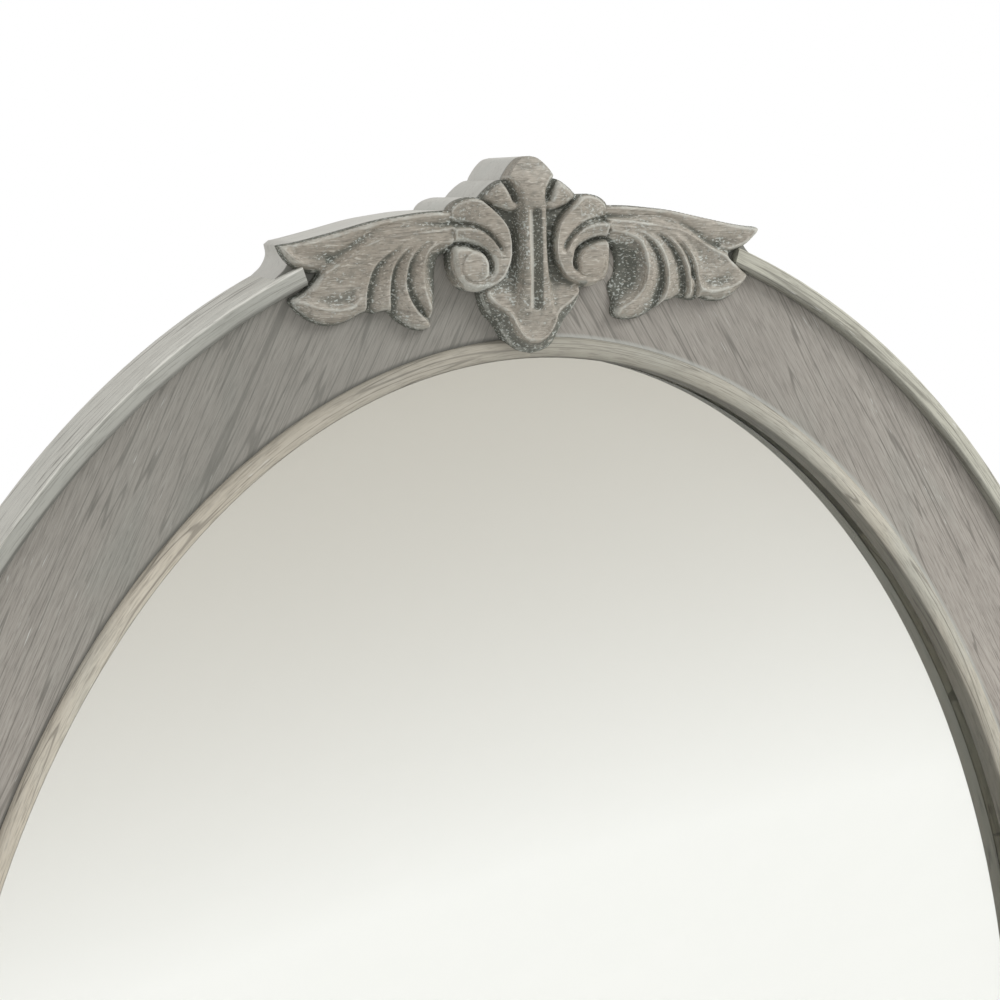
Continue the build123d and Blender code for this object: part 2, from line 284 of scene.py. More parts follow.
# %% [markdown]
# ## The lines of the cartouche
# The middle piece is the same left and right, so one half is marked: the edges of the top lobe, the side
# leaf and the ear, the edge of the volute, the foot, the shield, and the two lines that the scroll winds
# along.

# %% Lines of one half of the cartouche
GROUND = -float(FIELD_DROP)

# outlines of one half, measured sideways from the middle and up from the top of the oval
LOBE = drawn([(0, 18.4), (3, 17.6), (5.8, 15.2), (8.2, 12), (9.2, 10)])
LEAF = drawn([(9.2, 10), (11, 9.7), (13.5, 8.4), (16.5, 6), (19.3, 3.1)])
EAR = drawn([(19.3, 3.1), (22, 3.9), (25, 3.7), (28.4, 2.6), (31, 0.6), (32, -2), (31.7, -5.5)])
EDGE = drawn([
    (19.3, 3.1), (16, 0.3), (12, -3.5), (9.6, -7.5), (8.5, -12.5), (8.5, -18), (9.8, -22.5), (12.5, -27),
    (17, -30.2), (21.5, -31.4), (26, -30.6), (30, -27.4), (32.2, -22.5), (32.6, -17), (32, -11),
])
FOOT = drawn([
    (21, -30.5), (20.2, -34.5), (18.3, -39.5), (15, -43), (12.4, -47.5), (9.3, -52.3), (5.8, -54.6),
    (0, -56),
])
SHIELD = drawn([
    (16, -28), (18, -30.5), (18, -33), (15, -36), (11.2, -38.5), (9.3, -41), (8.2, -44), (5.6, -48),
    (2.6, -50), (0, -50.4),
])
SCROLL_RIDGE = drawn([
    (40, -8), (36, -7.2), (30, -6.8), (24, -7.3), (20, -8.8), (16.5, -11.7), (14, -15), (12.8, -18),
    (12.6, -19.5),
])
SCROLL_GROOVE = drawn([
    (34, -13.6), (28, -13.2), (23.4, -14.2), (19.4, -16.3), (17.2, -19.4), (16.9, -22.6), (18.2, -25.4),
])
EYE = (22.8, -21.3)
print("the volute edge has", len(EDGE), "points and the shield", len(SHIELD))

# %% [markdown]
# ## The height of the cartouche
# The stem is a slow dome with a groove, between two dark recesses. The side leaf swells out of it, the
# shield lies under it with a steep wall, and the volute winds round its eye. The highest of them all is
# the wood.

# %% Height of the cartouche
def over_middle(points):
    """A line that is carried on past the middle, so that its mirror image joins it."""
    return np.vstack([points, points[::-1][1:8] * (-1, 1)])


def cartouche(u, z):
    """Height of the cartouche over the rim."""
    hw = np.interp(z, [-46, -40, -34, -27, -15, -2, 3, 6, 9.5, 12],
        [7.5, 8.6, 7.6, 6.6, 6.1, 6.2, 6.1, 6.6, 8.8, 12])
    crown = np.interp(z, [-51, -47, -41, -34, -20, 0, 8, 13, 18.4],
        [3.2, 4.6, 5.6, 6.2, 6.8, 6.6, 5.2, 4.0, 1.6])
    top = crown - np.interp(z, [-30, 0, 8, 18], [1.0, 1.2, 1.6, 2.2]) * (u / hw) ** 2
    recess = np.interp(z, [-36, -32, -27, -20, 0], [3.0, 2.6, 0.9, -0.6, -0.6])
    stem = recess + (top - recess) * (1 - step(u - hw, -2.4, 1.5))
    run = step(z, -39.4, -37.0) * (1 - step(z, -2.6, 0.6))
    stem = stem - 2.9 * run * (1 - step(u, 0.0, 3.1))
    # side leaf
    low = drawn([(19.5, 2.6), (15, 0.2), (11, -1.4), (8, -2.2), (5, -2)])
    wedge = drawn([(11.4, 9.9), (9.6, 7.6), (8.3, 5.2), (7.0, 2.4)])
    d_leaf = depth_in(np.vstack([low, [(4, 1.5)], wedge[::-1], LEAF[3:]]), u, z)
    leaf_top = 4.2 - 0.035 * (u - 9) ** 2 - 0.05 * (z - 3.5) ** 2
    leaf = np.where(d_leaf > 0, -0.6 + (leaf_top + 0.6) * round_off(d_leaf, 2.2), -0.6)
    upper = np.where(z > -8, soft_max(stem, leaf, 1.8), stem)
    # shield
    shield_line, foot_line = over_middle(SHIELD), over_middle(FOOT)
    d_top = depth_in(np.vstack([[(-9, -20), (12, -24)], shield_line]), u, z)
    d_foot = depth_in(np.vstack([[(-9, -20), (21, -24)], foot_line]), u, z)
    out_top = reach(shield_line, u, z)[0] * np.where(d_top > 0, -1, 1)
    in_foot = reach(foot_line, u, z)[0] * np.where(d_foot > 0, 1, -1)
    plate = np.interp(z, [-51, -48, -40, -33, -28],
        [3.4, 3.3, 3.1, 3.0, 1.0]) + 0.7 * bump(out_top + 0.7, 0.8)
    chin = reach(over_middle(drawn([(8.6, -42), (7, -45), (4.5, -48), (0, -49.2)])), u, z)[0]
    plate = plate + 0.9 * bump(chin, 1.1)
    q = np.clip(out_top / np.maximum(out_top + in_foot, 1e-6), 0, 1)
    wall = np.interp(q, [0, 0.16, 0.3, 0.55, 0.72, 0.88, 1], [3.3, 1.4, 0.7, 0.2, -0.9, -2.8, GROUND])
    fade = 1 - step(z, -44, -37)
    body = soft_max(plate, stem - 0.15 - 2.0 * fade, 0.8)
    lower = np.where(out_top < 0, body, np.where(in_foot > 0, wall, GROUND))
    mix = step(z, -31, -28)
    middle = lower * (1 - mix) + upper * mix
    # volute with its ear
    ring = np.vstack([EDGE, [(32.2, -7)], EAR[::-1][1:-1]])
    d_in = depth_in(ring, u, z)
    turn = (u - EYE[0]) * 0.9 - (z - EYE[1]) * 0.75
    wide = np.where(z > -8, 0.9 + 0.4 * step(z, -8, -4), 0.9 + 2.6 * np.clip(0.5 + 0.09 * turn, 0, 1))
    base = 5.2 - 4.3 * step(u + 0.35 * (z + 2), 17, 32) * step(z, -9.5, -4)
    d_r, side_r, share_r = reach(SCROLL_RIDGE, u, z)
    d_g, side_g, share_g = reach(SCROLL_GROOVE, u, z)
    fade_r = step(share_r, 0.0, 0.12) * (1 - step(share_r, 0.86, 1.0))
    outer = base - (1.9 * bump(d_r - 0.9, 1.0) + 0.8 * bump(d_r, 3.0)) * fade_r
    t = np.clip(d_r / np.maximum(d_r + d_g, 1e-6), 0, 1)
    band = 5.2 - 3.0 * t ** 1.4
    r = np.hypot(u - EYE[0], z - EYE[1])
    disc = 5.1 - 0.12 * (r / 5.5) ** 2 - 0.8 * step(r, 5.0, 6.2)
    inside = (side_r > 0) & (share_r < 0.999)
    under = step(z, -22.5, -17.5)
    mid_band = np.where(side_g < 0, band * under + 5.2 * (1 - under), disc)
    h = np.where(inside, mid_band, outer)
    around = 5.1 - 0.5 * bump(r - 6.3, 0.9)
    body_low = np.where(r < 6.3, np.minimum(disc, around), around)
    blend = step(z + 0.35 * (u - EYE[0]), -22.5, -17.5)
    h = h * blend + body_low * (1 - blend)
    h = h - 3.1 * bump(d_g, 1.15) * (1 - step(share_g, 0.8, 1.0))
    volute = np.where(d_in > 0, GROUND + (h - GROUND) * round_off(d_in, wide), GROUND)
    return np.maximum(middle, volute)


print("the stem stands", round(float(cartouche(np.array([5.0]), np.array([-10.0]))[0]), 1), "mm over the rim")

# %% [markdown]
# ## The lines of the wings
# The two wings are not quite mirror images, as carved ones never are, so each has its own lines: V is the
# valley under the top edge, M the midrib, and A to D are the crests of the four folds that fan out below
# it.

# %% Lines of both wings
UPPER_WING_TOP = drawn([(30, -0.6), (40, -0.9), (50, -2.0), (60, -3.5), (75, -7), (88, -9.8), (97, -11)])
LEFT_WING = {
    "V": [
        (28, -5.6), (35, -5.5), (43, -4.8), (50, -4.7), (55, -5.3), (60, -6.7), (65, -9), (72, -13.5),
        (80, -18), (88, -21.5),
    ],
    "M": [
        (24, -7.3), (30, -7.0), (36, -7.7), (44, -8.4), (50, -8.7), (55, -9.1), (60, -10.2), (65, -12.3),
        (70, -15.3), (75, -18.3), (80, -21.2), (84, -24.5), (88, -27.6), (93, -30.8),
    ],
    "A": [
        (49, -10.2), (53, -12.6), (58, -16), (62, -20), (64.2, -25), (65.3, -30), (65.3, -36), (64, -42),
    ],
    "B": [
        (42, -10), (46, -12), (49.5, -14), (52.6, -17), (54.7, -20.5), (55.8, -25), (56.2, -30),
        (56, -36), (55, -42),
    ],
    "C": [
        (36, -10.2), (41, -11.2), (45, -13.6), (48.2, -18), (49.6, -23), (49.8, -27), (48.6, -32),
        (45.5, -37), (41.6, -41), (38, -45),
    ],
    "D": [
        (32, -11.5), (37, -12.2), (40.5, -14.5), (42.3, -18), (43, -23), (42.6, -28), (41.3, -32.5),
        (39.5, -37.5), (38, -44),
    ],
}
RIGHT_WING = {
    "V": [
        (28, -5), (38, -4.9), (47, -4.8), (55, -5.4), (62, -8), (68, -11.5), (72, -15), (78, -18),
        (84, -19.7), (90, -20.5),
    ],
    "M": [
        (24, -7), (30, -6.0), (36, -6.5), (43, -7.4), (50, -8.4), (56, -9.6), (62, -11.2), (68, -14.5),
        (74, -18), (80, -21), (86, -25.2), (92, -29.2),
    ],
    "A": [
        (50, -9.6), (57, -11.6), (62, -15.2), (66, -20), (68.2, -25), (69.6, -31), (70, -36), (69.5, -42),
    ],
    "B": [
        (45, -9.2), (52, -10.9), (56.5, -13.4), (60.5, -17.4), (63.2, -22), (65, -27), (65.6, -33),
        (65, -40),
    ],
    "C": [
        (38, -9.2), (45, -11), (48.5, -12.9), (52.2, -16.3), (55, -21), (56.4, -27), (56, -33),
        (54.2, -37), (52, -42),
    ],
    "D": [
        (33, -9.8), (39, -11.2), (43.5, -13.6), (45.8, -16.4), (47.4, -20.5), (48, -25), (47.2, -30),
        (45, -34), (41, -37.6), (36, -40.5), (32, -42.5),
    ],
}
OUTLINE = {
    "left": [
        (96.8, -11.1), (95.2, -14.6), (92.4, -18), (88.3, -20.6), (84.5, -21.6), (82.2, -21.6),
        (83.5, -23.6), (87, -27), (90.5, -29.2), (93, -30.4), (92, -33.2), (89.4, -36), (85.2, -38.9),
        (80.6, -40.6), (75.5, -40.7), (70.8, -39.4), (66.6, -37.2), (63.8, -36.6), (60.8, -37.3),
        (58, -36.6), (55.8, -36.9), (53.5, -39.4), (50, -42), (46.4, -43.8), (42.5, -44.3), (39.6, -43.2),
        (39.2, -40), (37.6, -35), (37, -29), (36.6, -22), (35, -17.5), (32, -14.4),
    ],
    "right": [
        (97, -11.2), (95.8, -13.6), (92.3, -17.4), (88.4, -19.5), (85.6, -20.6), (84, -21.8),
        (85.8, -23.8), (88.6, -26.2), (92, -29), (91.4, -31.4), (89, -34.6), (85.2, -37.6), (80.4, -39.1),
        (75.4, -38.9), (71.6, -37.6), (68.6, -38.4), (65.4, -37.9), (61.6, -37), (58.4, -38), (56, -38.2),
        (53.4, -39.8), (49.6, -42.3), (45, -44), (40, -44.4), (35.9, -43.6), (34, -41.4), (34.4, -37),
        (33.2, -31.4), (35.8, -26.6), (36.2, -20.5), (34.4, -16.4), (32, -14.2),
    ],
}
print("lines of each wing:", ", ".join(LEFT_WING))

# %% [markdown]
# ## The height of a wing
# Every fold rises slowly to its crest and then drops steeply into the next hollow. The share of the way
# between two crests gives the height there, and the ends of the two long leaves are cupped.

# %% Height of a wing
def wing(u, z, side):
    """Height of a wing over the rim."""
    lines = LEFT_WING if side == "left" else RIGHT_WING
    lines = {name: drawn(points) for name, points in lines.items()}
    d_t = reach(UPPER_WING_TOP, u, z)[0]
    d_v, s_v, _ = reach(lines["V"], u, z)
    d_m, s_m, _ = reach(lines["M"], u, z)
    h_m = np.interp(u, [30, 36, 50, 60, 70, 84, 92], [4.4, 3.9, 3.6, 3.4, 3.0, 2.2, 1.0])
    h_v = np.interp(u, [30, 45, 60, 75, 88], [-0.2, 0.6, 0.6, 0.0, -1.2])
    h_t = np.interp(u, [30, 45, 60, 75, 90, 97], [0.6, 1.4, 2.1, 2.0, 1.4, 0.6])
    t = np.clip(d_v / np.maximum(d_v + d_t, 1e-6), 0, 1)
    above_v = h_v + (h_t - h_v) * (1 - (1 - t) ** 2.2)
    t = np.clip(d_v / np.maximum(d_v + d_m, 1e-6), 0, 1)
    v_to_m = h_v + (h_m - h_v) * t ** 1.3
    h = np.where(s_v > 0, above_v, v_to_m)
    # fan under the midrib
    names = ["A", "B", "C", "D"]
    ridge = {"A": 2.4, "B": 1.9, "C": 1.2, "D": 0.6}
    found = {n: reach(lines[n], u, z) for n in names}
    # leaf two: between the midrib and ridge A
    d_a, _, q_a = found["A"]
    t = np.clip(d_m / np.maximum(d_m + d_a, 1e-6), 0, 1)
    h_a = np.interp(q_a, [0, 0.3, 1], [3.2, 3.0, 2.2])
    grow = step(u, 55, 72)
    dish = 1.7 * np.sin(np.pi * t) * grow
    leaf2 = h_m + (h_a - h_m) * t - dish
    fan = leaf2
    for outer, inner in zip(names, names[1:] + [None]):
        d_p, s_p, q_p = found[outer]
        top_p = np.interp(q_p, [0, 0.25, 1], [3.4, 3.1, ridge[outer]])
        deep = np.interp(q_p, [0, 0.1, 0.35, 0.8, 1], [0.2, 1.2, 3.6, 4.6, 4.8])
        if inner:
            d_q, _, q_q = found[inner]
            t = np.clip(d_p / np.maximum(d_p + d_q, 1e-6), 0, 1)
            top_q = np.interp(q_q, [0, 0.25, 1], [3.4, 3.1, ridge[inner]])
            floor = top_q - deep * (1 - t) ** 1.2
        else:
            floor = 2.6 - deep * 0.5 - 0.42 * d_p - 0.02 * d_p ** 2
            floor = np.maximum(floor, -3.4)
        wall = step(d_p, 0, 1.5)
        cell = top_p * (1 - wall) + floor * wall
        beyond = s_p < 0
        fan = np.where(beyond, cell, fan)
    h = np.where(s_m > 0, h, fan)
    near = np.where(s_m > 0, 0, bump(d_m, 0.9) * 0.3)
    h = h + near
    # cup rims of the two leaf ends
    rim2 = drawn([(91, -30.6), (88, -31.8), (84, -33.4), (79, -34.6), (74, -34.8), (70, -33.6), (67.5, -31)])
    d_2, s_2, _ = reach(rim2, u, z)
    under2 = step(u, 63, 68) * step(-z, 24, 29)
    h = h + under2 * (0.9 * bump(d_2, 1.1) - 0.9 * bump(d_2 - 3.4, 2.2) * (s_2 < 0))
    rim1 = drawn([(94.5, -12.8), (91.5, -15.8), (88, -17.6), (84, -18.6), (80, -18)])
    d_1, s_1, _ = reach(rim1, u, z)
    h = h + step(u, 74, 80) * (0.8 * bump(d_1, 1.0) - 0.7 * bump(d_1 - 3.0, 2.0) * (s_1 < 0))
    # outline
    ring = np.vstack([UPPER_WING_TOP[:-1], drawn(OUTLINE[side]), [(30, -13)]])
    d_in = depth_in(ring, u, z)
    wide = 1.3 + 1.4 * step(-z, 12, 16) + 1.6 * step(-z, 27, 32) * step(u, 60, 68)
    h = np.where(d_in > 0, GROUND + (h - GROUND) * round_off(d_in, wide), GROUND)
    return h


def relief(x, z):
    """Height of the whole carving over the rim, in millimetres."""
    u = np.abs(x)
    h = np.where(u < 34, cartouche(u, z), GROUND)
    left = np.where((u > 29.5) & (x < 0), wing(u, z, "left"), GROUND)
    right = np.where((u > 29.5) & (x > 0), wing(u, z, "right"), GROUND)
    return np.maximum(h, np.maximum(left, right))


# %% [markdown]
# ## One sheet of heights
# The heights are worked out once on a fine grid, 0.4 mm from point to point. The pieces and their
# finishes both read this sheet, so colour and form can't drift apart.

# %% The carving's heights on a fine sheet
SHEET_STEP = 0.4
sheet_x = np.arange(-100, 100.1, SHEET_STEP)
sheet_z = np.arange(-60, 22.1, SHEET_STEP)
sheet = relief(*np.meshgrid(sheet_x, sheet_z))
print("carving rises from", sheet.min(), "to", round(sheet.max(), 2), "mm over the rim")


def read_sheet(values, x, z):
    """Value of a sheet at any points, in millimetres."""
    column = np.clip((x - sheet_x[0]) / SHEET_STEP, 0, len(sheet_x) - 1.001)
    row = np.clip((z - sheet_z[0]) / SHEET_STEP, 0, len(sheet_z) - 1.001)
    i, j = column.astype(int), row.astype(int)
    a, b = column - i, row - j
    low = values[j, i] * (1 - a) + values[j, i + 1] * a
    high = values[j + 1, i] * (1 - a) + values[j + 1, i + 1] * a
    return low * (1 - b) + high * b


# %% [markdown]
# ## Cutting the pieces out
# A grid is lifted to the heights and drawn back into a block, and a second block with the piece's outline
# cuts it as a fretsaw would. The cut is a Boolean, because the outline then stays crisp however fine the
# sheet is.

# %% Outlines of the cartouche and of the wings
SKYLINE = np.vstack([LOBE[:-1], LEAF[:-1], EAR])
SHOULDER = UPPER_WING_TOP[UPPER_WING_TOP[:, 0] > 32]
half_cartouche = np.vstack([SKYLINE, EDGE[::-1][:24], FOOT[1:]])
cartouche_outline = np.vstack([half_cartouche, half_cartouche[::-1][1:-1] * (-1, 1)])
wing_outlines = {
    side: np.vstack([[(31.8, -0.9)], SHOULDER[:-1], drawn(OUTLINE[side]), [(31.95, -11)], [(31.7, -5.5)]])
    for side in ("left", "right")
}


print("the cartouche's outline has", len(cartouche_outline), "points")


# %% Blocks, cutters and the cut
def prism(outline, front, back, mirrored=False):
    """Closed block with this outline between two depths behind the rim."""
    bm = bmesh.new()
    sign = -1 if mirrored else 1
    face = bm.faces.new([bm.verts.new((mm(sign * x), RIM_Y + mm(front), TOP_Z + mm(z))) for x, z in outline])
    grown = bmesh.ops.extrude_face_region(bm, geom=[face])
    moved = [v for v in grown["geom"] if isinstance(v, bmesh.types.BMVert)]
    bmesh.ops.translate(bm, verts=moved, vec=(0, mm(back - front), 0))
    bmesh.ops.recalc_face_normals(bm, faces=bm.faces)
    return bm


def loose_object(bm, name):
    """An object that isn't a piece, for the cut."""
    mesh = bpy.data.meshes.new(name)
    bm.to_mesh(mesh)
    bm.free()
    made = bpy.data.objects.new(name, mesh)
    bpy.context.scene.collection.objects.link(made)
    return made


def carve(name, outline, mirrored=False):
    """Cut a carved piece out of the sheet along its outline."""
    sign = -1 if mirrored else 1
    xs = sorted((sign * outline[:, 0].min() - sign * 1, sign * outline[:, 0].max() + sign * 1))
    zs = (outline[:, 1].min() - 1, outline[:, 1].max() + 1)
    bm = bmesh.new()
    width, height = xs[1] - xs[0], zs[1] - zs[0]
    bmesh.ops.create_grid(
        bm, x_segments=round(width / SHEET_STEP), y_segments=round(height / SHEET_STEP), size=0.5,
        matrix=Matrix.Rotation(math.pi / 2, 4, "X"),
    )
    bmesh.ops.scale(bm, verts=bm.verts, vec=(mm(width), 1, mm(height)))
    bmesh.ops.translate(bm, verts=bm.verts, vec=(mm(xs[0] + xs[1]) / 2, 0, TOP_Z + mm(zs[0] + zs[1]) / 2))
    places = np.array([v.co for v in bm.verts]) * 1000
    heights = read_sheet(sheet, places[:, 0], places[:, 2] - TOP_Z * 1000)
    for vert, height in zip(bm.verts, heights):
        vert.co.y = RIM_Y - mm(height)
    grown = bmesh.ops.extrude_face_region(bm, geom=bm.faces[:])
    for vert in (v for v in grown["geom"] if isinstance(v, bmesh.types.BMVert)):
        vert.co.y = RIM_Y + mm(FIELD_DROP + 4)
    bmesh.ops.recalc_face_normals(bm, faces=bm.faces)
    block = loose_object(bm, name + "_block")
    cutter = loose_object(prism(outline, -20, FIELD_DROP, mirrored), name + "_cutter")
    cut = block.modifiers.new("cut", "BOOLEAN")
    cut.operation = "INTERSECT"
    cut.solver = "EXACT"
    cut.object = cutter
    depsgraph = bpy.context.evaluated_depsgraph_get()
    mesh = bpy.data.meshes.new_from_object(block.evaluated_get(depsgraph))
    bm = bmesh.new()
    bm.from_mesh(mesh)
    bpy.data.objects.remove(block)
    bpy.data.objects.remove(cutter)
    bpy.data.meshes.remove(mesh)
    return finish_piece(bm, name)


print("a cutter reaches from 20 mm before the rim to", FIELD_DROP, "mm behind it")

# %% [markdown]
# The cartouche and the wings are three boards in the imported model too, so each carved piece stands for
# its own one.

# %% Cartouche and wings
carvings = {"carved_cartouche": carve("carved_cartouche", cartouche_outline)}
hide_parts("crest_cartouche")
for side, mirrored in (("left", True), ("right", False)):
    wing_piece = carve("carved_wing_" + side, wing_outlines[side], mirrored)
    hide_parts("crest_wing_" + side)
    carvings["carved_wing_" + side] = wing_piece
for piece in carvings.values():
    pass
print("carved pieces:", ", ".join(carvings))

# %% [markdown]
# ## The block behind the carving
# Behind the leaves the crest is as deep as the frame, so from the side its smooth sawn edge shows in soft
# steps. It is one outline drawn out to the back, with the arrises taken off by a small bevel.

# %% Crest block
def oval_drop(x, inset):
    """Height of an oval at x, measured from the top of the outer oval, in millimetres."""
    across, up = 1000 * HALF_WIDTH - inset, 1000 * HALF_HEIGHT - inset
    return up * math.sqrt(1 - (x / across) ** 2) - 1000 * HALF_HEIGHT


BLOCK_FOOT = drawn([
    (91.6, -11.5), (91.2, -15.5), (93.2, -19.6), (CREST_END, oval_drop(CREST_END, 0)),
])
root = [(x, oval_drop(x, BAND_WIDTH)) for x in np.linspace(CREST_END, 0, 60)]
half_block = np.vstack([SKYLINE[SKYLINE[:, 1] > -1], SHOULDER[SHOULDER[:, 0] < 90], BLOCK_FOOT, root])
block_outline = np.vstack([half_block, half_block[::-1][1:-1] * (-1, 1)])
bm = prism(block_outline, FIELD_DROP, BACK_DROP)
BACK_ARRIS = 1.0
back_face = max(bm.faces, key=lambda face: face.calc_center_median().y)
bmesh.ops.bevel(
    bm, geom=list(back_face.edges), offset=mm(BACK_ARRIS), offset_type="OFFSET", affect="EDGES",
    segments=3, profile=0.5, material=-1,
)
crest_block = finish_piece(bm, "crest_block_oak")
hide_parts("crest_block")
print("the block is", BACK_DROP - FIELD_DROP, "mm deep")

# %% [markdown]
# ## Writing shaders as sums
# A finish is a network of nodes. Wrapping a socket in a small class lets sums and products be written as
# in Python, and each one adds its own Math node. Anything that isn't plain arithmetic, such as a noise or
# a ramp, is added by one method that takes the node's type, its settings and the values or links of its
# inputs.

# %% Sockets that can be added and multiplied
class Value:
    """The output of a node, ready for sums."""

    def __init__(self, finish, socket):
        self.finish = finish
        self.socket = socket

    def sum_of(self, operation, first, second, clamp=False):
        settings = {"operation": operation, "use_clamp": clamp}
        return self.finish.add("ShaderNodeMath", settings, {0: first, 1: second})

    def __add__(self, other):
        return self.sum_of("ADD", self, other)

    def __sub__(self, other):
        return self.sum_of("SUBTRACT", self, other)

    def __rsub__(self, other):
        return self.sum_of("SUBTRACT", other, self)

    def __mul__(self, other):
        return self.sum_of("MULTIPLY", self, other)

    def __truediv__(self, other):
        return self.sum_of("DIVIDE", self, other)

    def clipped(self):
        return self.sum_of("ADD", self, 0.0, clamp=True)

    __radd__ = __add__
    __rmul__ = __mul__


class Finish:
    """One material, built node by node."""

    def __init__(self, name, tree=None):
        if tree is None:
            self.material = bpy.data.materials.new(name)
            self.material.use_nodes = True
            tree = self.material.node_tree
        self.tree = tree

    def add(self, kind, settings=None, inputs=None, output=0):
        """Add a node: its settings first, then the values or links of its inputs."""
        node = self.tree.nodes.new(kind)
        for name, value in (settings or {}).items():
            setattr(node, name, value)
        for name, value in (inputs or {}).items():
            if isinstance(value, Value):
                self.tree.links.new(value.socket, node.inputs[name])
            else:
                node.inputs[name].default_value = value
        return Value(self, node.outputs[output])

    def ramp(self, factor, low, high):
        """Smooth rise from 0 to 1 between two values."""
        settings = {"interpolation_type": "SMOOTHSTEP"}
        return self.add("ShaderNodeMapRange", settings, {"Value": factor, "From Min": low, "From Max": high})

    def blend(self, factor, first, second, kind="MIX"):
        """Mix two colours."""
        settings = {"data_type": "RGBA", "blend_type": kind}
        return self.add("ShaderNodeMix", settings, {0: factor, 6: first, 7: second}, output=2)

    def noise(self, place, scale, detail=3.0, roughness=0.5, shift=(0, 0, 0)):
        """Noise on coordinates that are stretched by a scale for each axis."""
        moved = self.add("ShaderNodeMapping", None, {"Vector": place, "Scale": scale, "Location": shift})
        inputs = {"Vector": moved, "Scale": 1.0, "Detail": detail, "Roughness": roughness}
        return self.add("ShaderNodeTexNoise", None, inputs)

    def axes(self, vector):
        """X, Y and Z of a vector, each as a value."""
        outputs = self.add("ShaderNodeSeparateXYZ", None, {0: vector}).socket.node.outputs
        return [Value(self, outputs[axis]) for axis in "XYZ"]

    def shade(self, **inputs):
        """Set or link inputs of the shader, by their names with spaces as underscores."""
        shader = self.tree.nodes["Principled BSDF"]
        for name, value in inputs.items():
            socket = shader.inputs[name.replace("_", " ")]
            if isinstance(value, Value):
                self.tree.links.new(value.socket, socket)
            else:
                socket.default_value = value
        return self


def tint(red, green, blue):
    """A colour written as on a screen, 0 to 255, turned into the linear values that shaders use."""
    parts = [c / 255 for c in (red, green, blue)]
    return tuple(c / 12.92 if c <= 0.04045 else ((c + 0.055) / 1.055) ** 2.4 for c in parts) + (1.0,)


print("mid grey on a screen is", round(tint(128, 128, 128)[0], 3), "in a shader")

# %% [markdown]
# ## Limed oak
# The frame is oak that was stained grey and rubbed with white lime, which stays in the pores and corners.
# The same recipe serves the boards, the mouldings and the carving, with its own base colours. The grain
# is noise that is long one way and fine the other: dark thin pores, slow bands from the growth rings,
# pink and green clouds from the stain, and short white flecks of lime.

# %% Oak recipe
PORE_BROWN = tint(92, 86, 79)
SEAM_BROWN = tint(88, 83, 76)
FIBRE_DARK = tint(96, 91, 84)
FIBRE_PALE = tint(205, 202, 192)
LIME_WHITE = tint(226, 226, 220)
# the two crease colours are painted shade, and a painted highlight with lime, for the corners of the field
# against the band and the lip
CREASE_SHADE = tint(84, 85, 80)
CREASE_HIGHLIGHT_LIME = tint(188, 190, 184)
WOOD_BUMP = 0.0004


def limed_oak(place, light, dark, cool, grain=1.0, lime=1.0, seed=0.0):
    """Oak on coordinates with the grain along X: the finish, its colour and its depth for the bump."""
    finish = place.finish
    rings = finish.noise(place, (5, 110, 110), 3, 0.55, (seed, 0, seed))
    clouds = finish.noise(place, (9, 24, 24), 3, 0.6, (0, seed, 3.1))
    pores = finish.noise(place, (110, 1900, 1900), 2, 0.6, (seed, 1.7, 0))
    fibres = finish.noise(place, (90, 2000, 2000), 2, 0.6, (0, seed, 5.3))
    flecks = finish.noise(place, (75, 1150, 1150), 2, 0.6, (2.2, seed, 0))
    patches = finish.noise(place, (16, 42, 42), 2, 0.5, (seed, 8.1, 0))
    tone = finish.ramp(rings * 0.45 + clouds * 0.55, 0.24, 0.76)
    colour = finish.blend(tone, dark, light)
    colour = finish.blend(finish.ramp(clouds, 0.5, 0.72) * 0.55, colour, cool)
    pore_mask = finish.ramp(pores, 0.50, 0.66) * grain
    colour = finish.blend(pore_mask * 0.22, colour, PORE_BROWN)
    colour = finish.blend((fibres - 0.5).clipped() * (0.9 * grain), colour, FIBRE_PALE)
    seams = finish.noise(place, (7, 190, 190), 1, 0.4, (seed, 4.4, seed))
    seam_gap = finish.add("ShaderNodeMath", {"operation": "ABSOLUTE"}, {0: seams - 0.5})
    lines = (1.0 - finish.ramp(seam_gap, 0.004, 0.02)) * grain
    colour = finish.blend((lines * 0.36).clipped(), colour, SEAM_BROWN)
    colour = finish.blend((0.5 - fibres).clipped() * (0.9 * grain), colour, FIBRE_DARK)
    lime_mask = finish.ramp(flecks, 0.64, 0.74) * finish.ramp(patches, 0.52, 0.66) * lime
    colour = finish.blend(lime_mask.clipped() * 0.8, colour, LIME_WHITE)
    depth = 0.6 - pore_mask * 0.5 + fibres * 0.25 * grain + lime_mask * 0.15
    return finish, colour, depth


def finish_oak(finish, colour, depth, roughness=0.62, bump=0.25):
    """Link a colour and a depth to the shader as bare, hardly shining wood."""
    normal = finish.add("ShaderNodeBump", None, {"Strength": bump, "Distance": WOOD_BUMP, "Height": depth})
    finish.shade(Base_Color=colour, Normal=normal, Roughness=roughness, Specular_IOR_Level=0.3)
    return finish.material


def straight_grain(finish, degrees, lift=0.0):
    """Object coordinates turned about Y, so that X runs with the grain."""
    place = finish.add("ShaderNodeTexCoord", output=3)
    settings = {"Vector": place, "Rotation": (0, math.radians(degrees), 0), "Location": (lift, 0, lift)}
    return finish.add("ShaderNodeMapping", None, settings)


print("the grain lifts the surface by up to", WOOD_BUMP, "m")

# %% [markdown]
# ## Grain that follows the bend
# The band and the lip are bent strips, so their grain runs round the oval. Each of their points gets its
# place along the strip as an attribute, and the same oak recipe reads that instead of the object's own
# axes.

